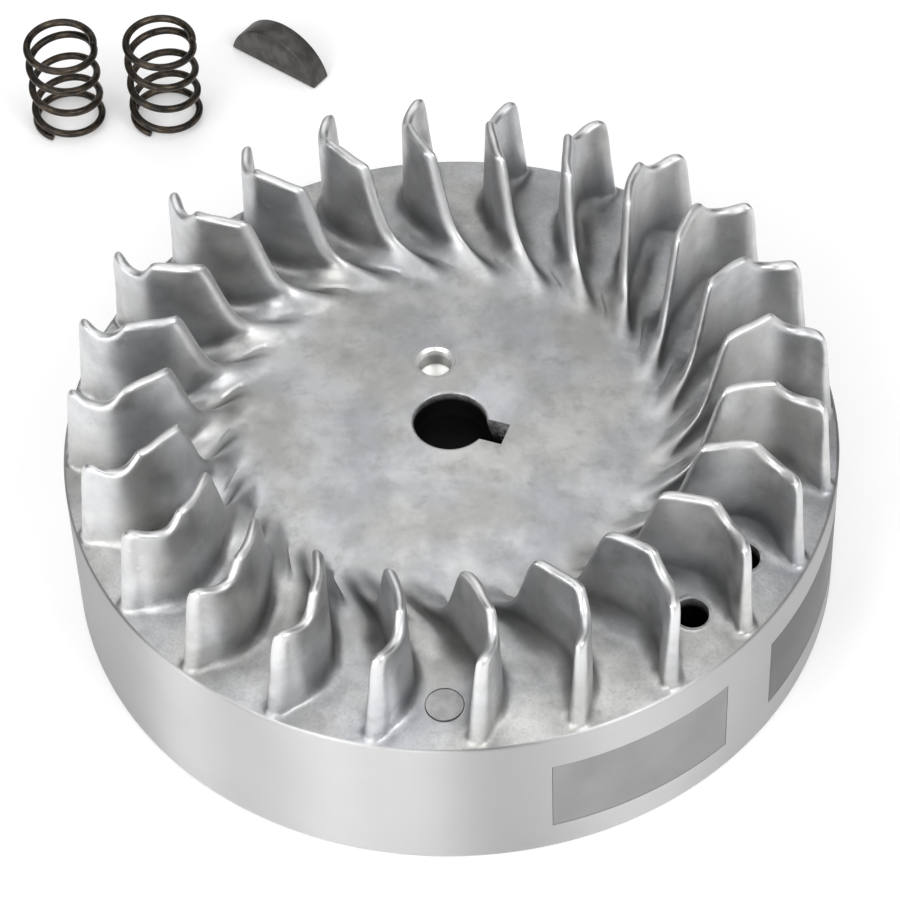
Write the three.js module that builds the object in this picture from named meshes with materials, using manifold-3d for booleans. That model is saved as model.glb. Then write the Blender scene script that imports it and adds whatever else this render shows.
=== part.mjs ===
// Fan flywheel kit: a die-cast aluminium engine flywheel with curved cooling fins,
// its Woodruff key and two valve springs laid out beside it.
// Millimetres, +Z up. The origin is the centre of the kit's underside.

import * as THREE from 'three';
import { mergeVertices } from 'three/addons/utils/BufferGeometryUtils.js';
import Module from 'manifold-3d';

const wasm = await Module();
wasm.setup();

// ---------------------------------------------------------------- driving dimensions

const GAP = 0.3;                      // clearance between neighbouring solids
const TURN_STEPS = 72;                // facets round the flywheel

const RIM_RADIUS = 87.5;
const RIM_HEIGHT = 39.5;
const RIM_CHAMFER = 0.8;
const CUP_MOUTH_RADIUS = 70;          // hollow underside, wider at its mouth
const CUP_ROOF_RADIUS = 67;
const CUP_DEPTH = 31;
const CUP_FILLET = 4;

const HUB_FACE_RADIUS = 20;           // flat machined seat round the bore
const HUB_FACE_HEIGHT = 45.2;
const BOSS_RADIUS = 24;
const BOSS_ROOT_RADIUS = 27;
const BOSS_END_HEIGHT = 6;

const BORE_RADIUS = 8.2;              // small end of the taper, at the hub face
const BORE_TAPER = 0.1;               // radius gained per millimetre of depth, 1:5 on diameter
const BORE_CHAMFER = 0.6;
const INSERT_RADIUS = 17;
const INSERT_TOP_HEIGHT = 36.2;

const KEYWAY_ANGLE = -21.3;
const KEYWAY_WIDTH = 6.1;
const KEYWAY_REACH = 13.2;            // from the axis to the keyway's floor

const DOWEL_HOLE = { radius: 4, x: -2.9, y: 17.8, depth: 5.5, pointDepth: 1.5 };
const PIN_HOLE = { radius: 3.4, pitchRadius: 74, angles: [-46.4, -31], floorHeight: 29 };
const PLUG = { radius: 4.4, pitchRadius: 75.6, angle: -92.7, depth: 8 };

const SHOE = { span: 29, low: 8, high: 29.3, depth: 6.5 };
const SHOE_STARTS = { pole_shoe_leading: -77.5, pole_shoe_trailing: -38.6 };
const MAGNET = { start: -60, span: 33, low: 10, high: 27, inner: 76.6, outer: 80.4 };

const FIN_COUNT = 24;
const FIRST_FIN_ANGLE = 92.8;
const FIN_TOP_THICKNESS = 2.6;
const FIN_ROOT_THICKNESS = 4.6;
const FIN_FOOT_THICKNESS = 1.6;       // where the foot runs out on the web
const FIN_TIP_DRAFT = 2.7;            // the outer end leans in by this much from root to top
const FIN_STATIONS = 14;
const FIN_OUTER_RADIUS = 83.6;
const FIN_FOOT_RADIUS = 49;
const FIN_INNER_RADIUS = 61.3;        // top of the leading edge
// Centre line of a fin seen from above: radius, and sweep in degrees from its outer end.
const FIN_CENTRE_LINE = [
  [FIN_OUTER_RADIUS, 0], [79.5, 1.8], [75.4, 2.7], [72, 2.8], [66.5, 1.2],
  [FIN_INNER_RADIUS, -1.4], [56.6, -4.6], [FIN_FOOT_RADIUS, -14.2],
];
// Upper edge of a fin: outer corner, dip, step, inner corner, root of the leading edge, foot.
const FIN_TOP_EDGE = [
  [FIN_OUTER_RADIUS, 63.7], [75.4, 64.5], [72, 68.2], [FIN_INNER_RADIUS, 67.6],
  [56.6, 49.2], [FIN_FOOT_RADIUS, 43.7],
];

const KEY = { diameter: 28, height: 11, thickness: 6, x: -40.6, y: 165.2, angle: -38.5, arcSteps: 24 };

const WIRE_RADIUS = 0.95;
const SPRING_RADIUS = 8.45;          // to the middle of the wire
const SPRING_HEIGHT = 27;
const SPRING_TURNS = 4.67;
const DEAD_TURNS = 0.3;             // flat part of each end coil
const PITCH_RAMP = 0.75;              // turns over which the pitch builds up
const END_COIL_TURNS = 0.75;          // length of the end coils that stay rigid
const WIRE_SIDES = 8;
const WIRE_STEPS_PER_TURN = 18;
const SPRINGS = [{ name: 'valve_spring_1', x: -94.9, y: 147.1 }, { name: 'valve_spring_2', x: -69.8, y: 147.1 }];

// ---------------------------------------------------------------- materials

const metal = (color, roughness, metalness) => new THREE.MeshStandardMaterial({ color, roughness, metalness });
const CAST_ALUMINIUM = metal(0xb4b6b8, 0.5, 0.8);
const POLE_STEEL = metal(0x9a9a9a, 0.55, 0.7);
const TOOL_STEEL = metal(0x6d6f72, 0.45, 0.9);
const MAGNET_BLACK = metal(0x3a3b3d, 0.6, 0.4);
const OILED_STEEL = metal(0x33302c, 0.35, 0.9);
const KEY_STEEL = metal(0x4a4848, 0.5, 0.8);

// ---------------------------------------------------------------- geometry helpers

const radians = THREE.MathUtils.degToRad;

// Linear interpolation in a list of [radius, value] pairs whose radii fall.
function valueAt(pairs, radius) {
  const last = pairs.length - 2;
  const i = Math.min(last, Math.max(0, pairs.findIndex(([r]) => r <= radius) - 1));
  const [[r0, v0], [r1, v1]] = [pairs[i], pairs[i + 1]];
  return THREE.MathUtils.mapLinear(radius, r0, r1, v0, v1);
}

function onlyPositions(geometry) {
  geometry.deleteAttribute('normal');
  geometry.deleteAttribute('uv');
  return mergeVertices(geometry, 1e-4);
}

function toSolid(geometry) {
  const welded = onlyPositions(geometry.clone());
  const vertProperties = Float32Array.from(welded.attributes.position.array);
  const triVerts = Uint32Array.from(welded.index.array);
  return new wasm.Manifold(new wasm.Mesh({ numProp: 3, vertProperties, triVerts }));
}

function toGeometry(solid) {
  const { vertProperties, triVerts } = solid.getMesh();
  const geometry = new THREE.BufferGeometry();
  geometry.setAttribute('position', new THREE.BufferAttribute(vertProperties, 3));
  geometry.setIndex(new THREE.BufferAttribute(triVerts, 1));
  geometry.computeVertexNormals();
  return geometry;
}

function cutAll(geometry, cutters) {
  const solid = cutters.reduce((left, cutter) => left.subtract(toSolid(cutter)), toSolid(geometry));
  return toGeometry(solid);
}

// A closed [radius, height] outline turned about the Z axis.
function turned(outline, steps = TURN_STEPS) {
  const points = [...outline, outline[0]].map(([r, z]) => new THREE.Vector2(r, z));
  return new THREE.LatheGeometry(points, steps).rotateX(Math.PI / 2);
}

// A block bounded by two radii, two heights and two angles in degrees.
function sector(inner, outer, low, high, start, span) {
  const shape = new THREE.Shape();
  shape.absarc(0, 0, outer, radians(start), radians(start + span), false);
  shape.absarc(0, 0, inner, radians(start + span), radians(start), true);
  const steps = Math.ceil(span / 4);
  return new THREE.ExtrudeGeometry(shape, { depth: high - low, bevelEnabled: false, curveSegments: steps })
    .translate(0, 0, low);
}

// A vertical peg between two heights, with an optional conical point below.
function peg(radius, low, high, x, y, pointDepth = 0) {
  const outline = [[0, low - pointDepth], [radius, low], [radius, high], [0, high]];
  const points = outline.map(([r, z]) => new THREE.Vector2(r, z));
  return new THREE.LatheGeometry(points, 24).rotateX(Math.PI / 2).translate(x, y, 0);
}

function polar(radius, degrees) {
  return new THREE.Vector2(radius * Math.cos(radians(degrees)), radius * Math.sin(radians(degrees)));
}

// Skins a row of rings that all have the same number of points, and closes both ends.
function loft(rings) {
  const size = rings[0].length;
  const faces = [];
  for (let i = 0; i + 1 < rings.length; i++) {
    for (let j = 0; j < size; j++) {
      const a = i * size + j;
      const b = i * size + (j + 1) % size;
      faces.push(a, b, a + size, b, b + size, a + size);
    }
  }
  const lastRing = (rings.length - 1) * size;
  for (let j = 1; j + 1 < size; j++) {
    faces.push(0, j + 1, j);
    faces.push(lastRing, lastRing + j, lastRing + j + 1);
  }
  const geometry = new THREE.BufferGeometry().setFromPoints(rings.flat());
  geometry.setIndex(faces);
  geometry.computeVertexNormals();
  return geometry;
}

// ---------------------------------------------------------------- flywheel

// Height of the web's upper face, a shallow cone between the hub seat and the rim's edge.
function webHeight(radius) {
  const edge = RIM_RADIUS - RIM_CHAMFER;
  const height = THREE.MathUtils.mapLinear(radius, HUB_FACE_RADIUS, edge, HUB_FACE_HEIGHT, RIM_HEIGHT);
  return THREE.MathUtils.clamp(height, RIM_HEIGHT, HUB_FACE_HEIGHT);
}

function keywayCutter() {
  const height = HUB_FACE_HEIGHT + 10;
  return new THREE.BoxGeometry(KEYWAY_REACH, KEYWAY_WIDTH, height)
    .translate(KEYWAY_REACH / 2, 0, height / 2 - 5)
    .rotateZ(radians(KEYWAY_ANGLE));
}

function shoePocket(start) {
  const margin = THREE.MathUtils.radToDeg(GAP / RIM_RADIUS);
  const inner = RIM_RADIUS - SHOE.depth - GAP;
  return sector(inner, RIM_RADIUS + 5, SHOE.low - GAP, SHOE.high + GAP, start - margin, SHOE.span + 2 * margin);
}

function magnetPocket() {
  const margin = THREE.MathUtils.radToDeg(GAP / MAGNET.inner);
  const outer = RIM_RADIUS - SHOE.depth;
  return sector(MAGNET.inner - GAP, outer, MAGNET.low - GAP, MAGNET.high + GAP,
    MAGNET.start - margin, MAGNET.span + 2 * margin);
}

function castingGeometry() {
  const boreBottom = BORE_RADIUS + (HUB_FACE_HEIGHT - INSERT_TOP_HEIGHT) * BORE_TAPER;
  const pocketRadius = INSERT_RADIUS + GAP;
  const pocketTop = INSERT_TOP_HEIGHT + GAP;
  const outline = [
    [RIM_RADIUS - RIM_CHAMFER, 0],
    [RIM_RADIUS, RIM_CHAMFER],
    [RIM_RADIUS, RIM_HEIGHT - RIM_CHAMFER],
    [RIM_RADIUS - RIM_CHAMFER, RIM_HEIGHT],
    [HUB_FACE_RADIUS, HUB_FACE_HEIGHT],
    [BORE_RADIUS + BORE_CHAMFER, HUB_FACE_HEIGHT],
    [BORE_RADIUS, HUB_FACE_HEIGHT - BORE_CHAMFER],
    [boreBottom, pocketTop],
    [pocketRadius, pocketTop],
    [pocketRadius, BOSS_END_HEIGHT],
    [BOSS_RADIUS, BOSS_END_HEIGHT],
    [BOSS_ROOT_RADIUS, CUP_DEPTH - CUP_FILLET],
    [BOSS_ROOT_RADIUS + CUP_FILLET, CUP_DEPTH],
    [CUP_ROOF_RADIUS - CUP_FILLET, CUP_DEPTH],
    [CUP_ROOF_RADIUS, CUP_DEPTH - CUP_FILLET],
    [CUP_MOUTH_RADIUS, 0],
  ];
  const above = HUB_FACE_HEIGHT + 5;
  const pinHoles = PIN_HOLE.angles.map((angle) => {
    const { x, y } = polar(PIN_HOLE.pitchRadius, angle);
    return peg(PIN_HOLE.radius, PIN_HOLE.floorHeight, above, x, y);
  });
  const plugPlace = polar(PLUG.pitchRadius, PLUG.angle);
  const plugFloor = RIM_HEIGHT - PLUG.depth - GAP;
  const dowelFloor = HUB_FACE_HEIGHT - DOWEL_HOLE.depth;
  return cutAll(turned(outline), [
    keywayCutter(),
    peg(DOWEL_HOLE.radius, dowelFloor, above, DOWEL_HOLE.x, DOWEL_HOLE.y, DOWEL_HOLE.pointDepth),
    ...pinHoles,
    peg(PLUG.radius + GAP, plugFloor, above, plugPlace.x, plugPlace.y),
    ...Object.values(SHOE_STARTS).map(shoePocket),
    magnetPocket(),
  ]);
}

function insertGeometry() {
  const boreRadius = (height) => BORE_RADIUS + (HUB_FACE_HEIGHT - height) * BORE_TAPER;
  const sleeve = turned([
    [INSERT_RADIUS, BOSS_END_HEIGHT],
    [INSERT_RADIUS, INSERT_TOP_HEIGHT],
    [boreRadius(INSERT_TOP_HEIGHT), INSERT_TOP_HEIGHT],
    [boreRadius(BOSS_END_HEIGHT), BOSS_END_HEIGHT],
  ], 48);
  return cutAll(sleeve, [keywayCutter()]);
}

// One fin, its outer end on the +X axis: a drafted blade over a curved centre line,
// whose upper edge falls at the leading edge to a low foot that runs out on the web.
function finGeometry() {
  const centreLine = new THREE.SplineCurve(FIN_CENTRE_LINE.map(([r, sweep]) => polar(r, sweep)));
  const rings = [];
  for (let i = 0; i <= FIN_STATIONS; i++) {
    const t = i / FIN_STATIONS;
    const middle = centreLine.getPoint(t);
    const along = centreLine.getTangent(t);
    const across = new THREE.Vector2(-along.y, along.x);
    const radius = middle.length();
    const top = valueAt(FIN_TOP_EDGE, radius);
    const footFade = THREE.MathUtils.smoothstep(radius, FIN_FOOT_RADIUS, FIN_INNER_RADIUS);
    const rootHalf = THREE.MathUtils.lerp(FIN_FOOT_THICKNESS, FIN_ROOT_THICKNESS, footFade) / 2;
    const topHalf = THREE.MathUtils.lerp(FIN_FOOT_THICKNESS / 2, FIN_TOP_THICKNESS, footFade) / 2;
    const rootShift = i === 0 ? -FIN_TIP_DRAFT : 0;
    const corner = (half, shift, height) => {
      const p = middle.clone().addScaledVector(across, half).addScaledVector(along, shift);
      return new THREE.Vector3(p.x, p.y, height ?? webHeight(p.length()) + GAP);
    };
    rings.push([
      corner(-rootHalf, rootShift),
      corner(rootHalf, rootShift),
      corner(topHalf, 0, top),
      corner(-topHalf, 0, top),
    ]);
  }
  return loft(rings);
}

function addFlywheel(kit) {
  const add = (name, geometry, material) => {
    const mesh = new THREE.Mesh(geometry, material);
    mesh.name = name;
    kit.add(mesh);
    return mesh;
  };
  add('flywheel_casting', castingGeometry(), CAST_ALUMINIUM);
  const fin = finGeometry();
  for (let i = 0; i < FIN_COUNT; i++) {
    const mesh = add(`fin_${String(i + 1).padStart(2, '0')}`, fin, CAST_ALUMINIUM);
    mesh.rotation.z = radians(FIRST_FIN_ANGLE - i * 360 / FIN_COUNT);
  }
  add('hub_insert', insertGeometry(), TOOL_STEEL);
  for (const [name, start] of Object.entries(SHOE_STARTS)) {
    add(name, sector(RIM_RADIUS - SHOE.depth, RIM_RADIUS, SHOE.low, SHOE.high, start, SHOE.span), POLE_STEEL);
  }
  const { inner, outer, low, high, start, span } = MAGNET;
  add('ignition_magnet', sector(inner, outer, low, high, start, span), MAGNET_BLACK);
  const plugPlace = polar(PLUG.pitchRadius, PLUG.angle);
  const plugTop = webHeight(PLUG.pitchRadius);
  add('core_plug', peg(PLUG.radius, RIM_HEIGHT - PLUG.depth, plugTop, plugPlace.x, plugPlace.y), CAST_ALUMINIUM);
}

// ---------------------------------------------------------------- key and springs

// A Woodruff key standing on its straight side.
function keyMesh() {
  const radius = KEY.diameter / 2;
  const centreHeight = KEY.height - radius;
  const startAngle = Math.asin(-centreHeight / radius);
  const shape = new THREE.Shape();
  shape.absarc(0, centreHeight, radius, startAngle, Math.PI - startAngle, false);
  shape.closePath();
  const options = { depth: KEY.thickness, bevelEnabled: false, curveSegments: KEY.arcSteps };
  const geometry = new THREE.ExtrudeGeometry(shape, options)
    .translate(0, 0, -KEY.thickness / 2)
    .rotateX(Math.PI / 2);
  const mesh = new THREE.Mesh(geometry, KEY_STEEL);
  mesh.name = 'woodruff_key';
  mesh.position.set(KEY.x, KEY.y, 0);
  mesh.rotation.z = radians(KEY.angle);
  return mesh;
}

// Drop of the wire, in turns of full pitch, after the given number of turns from the top.
function pitchDrop(turns) {
  const rampStart = SPRING_TURNS - DEAD_TURNS - PITCH_RAMP;
  const ramp = (x) => {
    const inside = THREE.MathUtils.clamp(x, 0, PITCH_RAMP);
    return inside * inside / (2 * PITCH_RAMP) + Math.max(0, x - PITCH_RAMP);
  };
  return ramp(turns - DEAD_TURNS) - ramp(turns - rampStart);
}

// A stretch of the spring's wire between two turn counts from the top, wound left-handed.
class WirePath extends THREE.Curve {
  constructor(from, to) {
    super();
    this.from = from;
    this.to = to;
  }

  getPoint(t, target = new THREE.Vector3()) {
    const turns = THREE.MathUtils.lerp(this.from, this.to, t);
    const angle = 2 * Math.PI * turns;
    const drop = (SPRING_HEIGHT - 2 * WIRE_RADIUS) * pitchDrop(turns) / pitchDrop(SPRING_TURNS);
    return target.set(SPRING_RADIUS * Math.cos(angle), SPRING_RADIUS * Math.sin(angle),
      SPRING_HEIGHT - WIRE_RADIUS - drop);
  }
}

function wireGeometry(from, to) {
  const section = new THREE.Shape().absarc(0, 0, WIRE_RADIUS, 0, 2 * Math.PI);
  const steps = Math.ceil((to - from) * WIRE_STEPS_PER_TURN);
  return new THREE.ExtrudeGeometry(section, {
    steps, bevelEnabled: false, curveSegments: WIRE_SIDES / 2, extrudePath: new WirePath(from, to),
  });
}

function springGroup({ name, x, y }) {
  const cut = GAP / (2 * Math.PI * SPRING_RADIUS);
  const lowEnd = SPRING_TURNS - END_COIL_TURNS;
  const stretches = {
    top_coil: [0, END_COIL_TURNS],
    active_coils: [END_COIL_TURNS + cut, lowEnd - cut],
    seat_coil: [lowEnd, SPRING_TURNS],
  };
  const group = new THREE.Group();
  for (const [label, [from, to]] of Object.entries(stretches)) {
    const mesh = new THREE.Mesh(wireGeometry(from, to), OILED_STEEL);
    mesh.name = `${name}_${label}`;
    group.add(mesh);
  }
  group.position.set(x, y, 0);
  return group;
}

// ---------------------------------------------------------------- assembly

const kit = new THREE.Group();
addFlywheel(kit);
kit.add(keyMesh());
SPRINGS.forEach((spring) => kit.add(springGroup(spring)));

const layout = new THREE.Box3().setFromObject(kit, true);
const centre = layout.getCenter(new THREE.Vector3());
kit.position.set(-centre.x, -centre.y, -layout.min.z);

const assembly = new THREE.Group();
assembly.add(kit);

export default assembly;
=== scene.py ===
"""Looks of the fan flywheel kit: a die-cast flywheel, its Woodruff key and two valve springs.

Dimensions are millimetres in the flywheel's own frame (axis at x = y = 0) and become metres
in the CAD frame when a mesh is made.
"""

import math

import bmesh
import bpy
import numpy as np
from mathutils import Matrix, Vector


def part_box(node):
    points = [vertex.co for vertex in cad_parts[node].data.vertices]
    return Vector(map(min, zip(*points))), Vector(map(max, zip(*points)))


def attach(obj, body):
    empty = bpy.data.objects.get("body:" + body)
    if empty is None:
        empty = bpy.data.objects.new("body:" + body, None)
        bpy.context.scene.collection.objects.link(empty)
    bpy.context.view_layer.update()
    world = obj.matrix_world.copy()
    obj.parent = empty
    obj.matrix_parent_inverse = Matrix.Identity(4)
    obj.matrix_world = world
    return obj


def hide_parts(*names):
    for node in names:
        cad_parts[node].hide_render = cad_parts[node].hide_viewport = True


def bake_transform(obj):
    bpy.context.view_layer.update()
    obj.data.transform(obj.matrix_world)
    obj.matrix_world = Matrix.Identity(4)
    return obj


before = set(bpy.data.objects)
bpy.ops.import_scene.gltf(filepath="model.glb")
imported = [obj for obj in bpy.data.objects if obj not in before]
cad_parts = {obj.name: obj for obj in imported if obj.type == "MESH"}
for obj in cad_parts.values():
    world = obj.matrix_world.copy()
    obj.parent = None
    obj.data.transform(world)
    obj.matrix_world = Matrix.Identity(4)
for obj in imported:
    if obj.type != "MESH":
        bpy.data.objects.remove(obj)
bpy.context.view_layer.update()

# ---------------------------------------------------------------- driving dimensions

MM = 0.001

RIM_RADIUS = 87.5
RIM_HEIGHT = 39.5
WEB_EDGE_RADIUS = 86.7
HUB_FACE_RADIUS = 20.0
HUB_FACE_HEIGHT = 45.2
BORE_RADIUS = 8.2
BORE_TAPER = 0.1
BOSS_END_HEIGHT = 6.0
INSERT_RADIUS = 17.0
INSERT_TOP_HEIGHT = 36.2
KEYWAY_ANGLE = -21.3
KEYWAY_WIDTH = 6.1
KEYWAY_REACH = 13.2

FIN_COUNT = 24
SECTOR = 360.0 / FIN_COUNT
FIRST_FIN_ANGLE = 92.8
# A fin's centre line: radius, and sweep in degrees from its outer end.
FIN_CENTRE_LINE = [
    (43.5, -21.6), (46.2, -18.2), (49.0, -14.2), (52.5, -9.2), (56.6, -4.6), (61.3, -1.4),
    (66.5, 1.2), (72.0, 2.8), (75.4, 2.8), (79.5, 1.8), (82.6, 0.45),
    (85.0, -0.2), (87.5, -0.35),
]
# A fin from the side, radius and height, from the root of its outer end to its foot.
FIN_OUTLINE = [
    (86.7, 26.0), (86.4, 38.0), (86.1, 42.0), (84.6, 60.6), (84.0, 64.1), (82.4, 65.0), (79.0, 63.6),
    (76.0, 64.0), (73.8, 66.2), (72.5, 68.4), (70.4, 68.3), (66.0, 68.2), (62.4, 68.2), (60.9, 67.2),
    (58.6, 57.5), (56.6, 49.6), (54.4, 46.4), (50.4, 43.9), (47.6, 40.0), (47.0, 26.0),
]
FIN_CREST_HEIGHT = 66.0
FIN_CREST_HALF = 1.2
FIN_FOOT_HALF = 0.9
FIN_EDGE_ROUND = 1.15
FIN_END_ROUND = 2.0
# Half thickness gained per millimetre below the crest, on the two sides of the blade.
FIN_DRAFT = 0.035
FIN_END_DRAFT = {"clockwise": 0.062, "anticlockwise": 0.008}
FIN_ROOT_FILLET = {"clockwise": 5.0, "anticlockwise": 2.6}
FIN_END_FILLET = 1.2
FIN_FOOT_FILLET = {"clockwise": 1.9, "anticlockwise": 5.5}


def centre_of(node):
    low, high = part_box(node)
    return (low + high) / 2


HUB = centre_of("flywheel_casting")
HUB = Vector((HUB.x, HUB.y, 0.0))

# ---------------------------------------------------------------- numeric helpers


def smoothstep(x, low, high):
    t = np.clip((x - low) / (high - low), 0, 1)
    return t * t * (3 - 2 * t)


def lerp(a, b, t):
    return a + (b - a) * t


def smooth_curve(points):
    """A smooth function through (x, y) points with rising x, flat beyond its ends."""
    xs, ys = (np.array(values, float) for values in zip(*points))
    slopes = np.gradient(ys, xs)

    def at(x):
        x = np.clip(x, xs[0], xs[-1])
        i = np.clip(np.searchsorted(xs, x, side="right") - 1, 0, len(xs) - 2)
        width = xs[i + 1] - xs[i]
        t = (x - xs[i]) / width
        start = (2 * t**3 - 3 * t**2 + 1) * ys[i] + (t**3 - 2 * t**2 + t) * width * slopes[i]
        end = (3 * t**2 - 2 * t**3) * ys[i + 1] + (t**3 - t**2) * width * slopes[i + 1]
        return start + end

    return at


def cut_corners(points, rounds):
    """Chaikin's corner cutting on a closed outline."""
    outline = np.array(points, float)
    for _ in range(rounds):
        following = np.roll(outline, -1, axis=0)
        quarter = lerp(outline, following, 0.25)
        three_quarters = lerp(outline, following, 0.75)
        outline = np.stack([quarter, three_quarters], axis=1).reshape(-1, 2)
    return outline


def outline_distance(x, y, outline):
    """Signed distance to a closed outline, negative inside."""
    nearest = np.full(x.shape, 1e9)
    inside = np.zeros(x.shape, bool)
    for (ax, ay), (bx, by) in zip(outline, np.roll(outline, -1, axis=0)):
        ex, ey = bx - ax, by - ay
        wx, wy = x - ax, y - ay
        t = np.clip((wx * ex + wy * ey) / (ex * ex + ey * ey), 0, 1)
        nearest = np.minimum(nearest, (wx - ex * t) ** 2 + (wy - ey * t) ** 2)
        if ay != by:
            crossing = (ay > y) != (by > y)
            inside ^= crossing & (x < ex * (y - ay) / (by - ay) + ax)
    return np.where(inside, -1, 1) * np.sqrt(nearest)


def round_union(a, b, radius):
    u = np.maximum(radius - a, 0)
    v = np.maximum(radius - b, 0)
    return np.maximum(radius, np.minimum(a, b)) - np.hypot(u, v)


def round_intersection(a, b, radius):
    u = np.maximum(radius + a, 0)
    v = np.maximum(radius + b, 0)
    return np.minimum(-radius, np.maximum(a, b)) + np.hypot(u, v)


# ---------------------------------------------------------------- mesh helpers


def make_object(name, points, faces, place=HUB):
    """An object from points in millimetres, moved to its place in the frame."""
    mesh = bpy.data.meshes.new(name)
    mesh.from_pydata((np.asarray(points, float) * MM).tolist(), [], faces)
    mesh.transform(Matrix.Translation(place))
    mesh.validate()
    mesh.update()
    mesh.shade_smooth()
    obj = bpy.data.objects.new(name, mesh)
    bpy.context.scene.collection.objects.link(obj)
    return obj


def ring_strip(rings, closed=False):
    """Points and quads that join rings of equal length, each ring closed on itself."""
    size = len(rings[0])
    faces = []
    last = len(rings) if closed else len(rings) - 1
    for i in range(last):
        a, b = i * size, (i + 1) % len(rings) * size
        for j in range(size):
            k = (j + 1) % size
            faces.append((a + j, a + k, b + k, b + j))
    return np.concatenate(rings), faces


def turned(outline, steps=96, closed=True):
    """A (radius, height) outline turned about the Z axis, joined end to start if it is closed."""
    angles = np.linspace(0, 2 * math.pi, steps, endpoint=False)
    rings = [
        np.stack([r * np.cos(angles), r * np.sin(angles), np.full(steps, z)], 1)
        for r, z in outline
    ]
    return ring_strip(rings, closed)


def peg(radius, low, high, x, y, chamfer=0.0, point=0.0, steps=64):
    """Points and faces of an upright peg, flared at its top by chamfer and pointed below by point."""
    outline = [(radius, low), (radius, high - chamfer), (radius + chamfer, high)]
    points, faces = turned(outline, steps, closed=False)
    points = np.concatenate([points, [(0, 0, low - point), (0, 0, high)]])
    bottom, top = 3 * steps, 3 * steps + 1
    for j in range(steps):
        k = (j + 1) % steps
        faces.append((bottom, k, j))
        faces.append((top, 2 * steps + j, 2 * steps + k))
    return points + np.array([x, y, 0]), faces


def polar(radius, degrees):
    angle = math.radians(degrees)
    return radius * math.cos(angle), radius * math.sin(angle)


def sector_block(inner, outer, low, high, start, span, steps=32):
    """Points and faces of a block bounded by two radii, two heights and two angles."""
    corners = [(inner, low), (outer, low), (outer, high), (inner, high)]
    rings = []
    for i in range(steps + 1):
        x, y = polar(1.0, start + span * i / steps)
        rings.append(np.array([(r * x, r * y, z) for r, z in corners]))
    points, faces = ring_strip(rings)
    last = 4 * steps
    faces += [(1, 2, 3, 0), (last + 3, last + 2, last + 1, last)]
    return points, faces


def outward(obj):
    """Turns every face of a closed mesh outwards."""
    bm = bmesh.new()
    bm.from_mesh(obj.data)
    bmesh.ops.recalc_face_normals(bm, faces=bm.faces)
    bm.to_mesh(obj.data)
    bm.free()
    return obj


def cut_with(obj, cutters):
    """Subtracts each cutter, given as points and faces, from obj."""
    for points, faces in cutters:
        cutter = outward(make_object("cutter", points, faces))
        modifier = obj.modifiers.new("cut", "BOOLEAN")
        modifier.operation = "DIFFERENCE"
        modifier.solver = "MANIFOLD"
        modifier.object = cutter
        apply_modifiers(obj)
        bpy.data.objects.remove(cutter)


def apply_modifiers(obj):
    graph = bpy.context.evaluated_depsgraph_get()
    mesh = bpy.data.meshes.new_from_object(obj.evaluated_get(graph))
    obj.modifiers.clear()
    obj.data = mesh


def bevel(obj, width, segments=2, angle=30):
    modifier = obj.modifiers.new("bevel", "BEVEL")
    modifier.width = width * MM
    modifier.segments = segments
    modifier.limit_method = "ANGLE"
    modifier.angle_limit = math.radians(angle)
    modifier.use_clamp_overlap = True
    apply_modifiers(obj)


# ---------------------------------------------------------------- the finned face

fin_sweep = smooth_curve(FIN_CENTRE_LINE)
# The grid's columns follow the same line, but run on towards the hub inside the fin's foot.
GRID_LINE_START = [(35.0, -SECTOR), (39.0, -SECTOR - 0.9), (43.0, -SECTOR - 1.6)]
grid_sweep = smooth_curve(GRID_LINE_START + FIN_CENTRE_LINE[2:])
fin_outline = cut_corners(FIN_OUTLINE, 3)


def web_height(radius):
    """Upper face of the web, a shallow cone from the hub seat to the rim's edge."""
    t = (radius - HUB_FACE_RADIUS) / (WEB_EDGE_RADIUS - HUB_FACE_RADIUS)
    return lerp(HUB_FACE_HEIGHT, RIM_HEIGHT, np.clip(t, 0, 1))


def fin_distances(x, y, z):
    """Distances from a fin's side faces and its side outline, and the signed distance across it.

    The fin lies on the X axis, and the last distance is positive on its anticlockwise side.
    """
    radius = np.hypot(x, y)
    offset = np.arctan2(y, x) - np.radians(fin_sweep(radius))
    step = 0.5
    slope = np.radians(fin_sweep(radius + step) - fin_sweep(radius - step)) / (2 * step)
    across = offset * radius / np.hypot(1, radius * slope)
    body = smoothstep(radius, 49.0, 62.0)
    half = lerp(FIN_FOOT_HALF, FIN_CREST_HALF, body)
    end = smoothstep(radius, 69.0, 80.0)
    edge = lerp(0.2, 1.0, smoothstep(radius, 57.0, 66.0))
    left = lerp(FIN_DRAFT, FIN_END_DRAFT["anticlockwise"], end)
    right = lerp(FIN_DRAFT, FIN_END_DRAFT["clockwise"], end)
    half = half + (FIN_CREST_HEIGHT - z) * edge * np.where(across > 0, left, right)
    return np.abs(across) - half, outline_distance(radius, z, fin_outline), across


def face_distance(x, y, z):
    """Signed distance from the finned face: the web with one fin cast on it."""
    radius = np.hypot(x, y)
    side, outline, across = fin_distances(x, y, z)
    low_end = smoothstep(radius, 78.0, 84.0) * smoothstep(FIN_CREST_HEIGHT - z, 4.0, 16.0)
    blade = round_intersection(side, outline, lerp(FIN_EDGE_ROUND, FIN_END_ROUND, low_end))
    turn = smoothstep(across, -2.5, 2.5)
    foot = lerp(FIN_FOOT_FILLET["clockwise"], FIN_FOOT_FILLET["anticlockwise"], turn)
    root = lerp(FIN_ROOT_FILLET["clockwise"], FIN_ROOT_FILLET["anticlockwise"], turn)
    fillet = lerp(foot, root, smoothstep(radius, 53.0, 62.0))
    fillet = lerp(fillet, FIN_END_FILLET, smoothstep(radius, 76.0, 84.5))
    return round_union(blade, z - web_height(radius), fillet)


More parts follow.
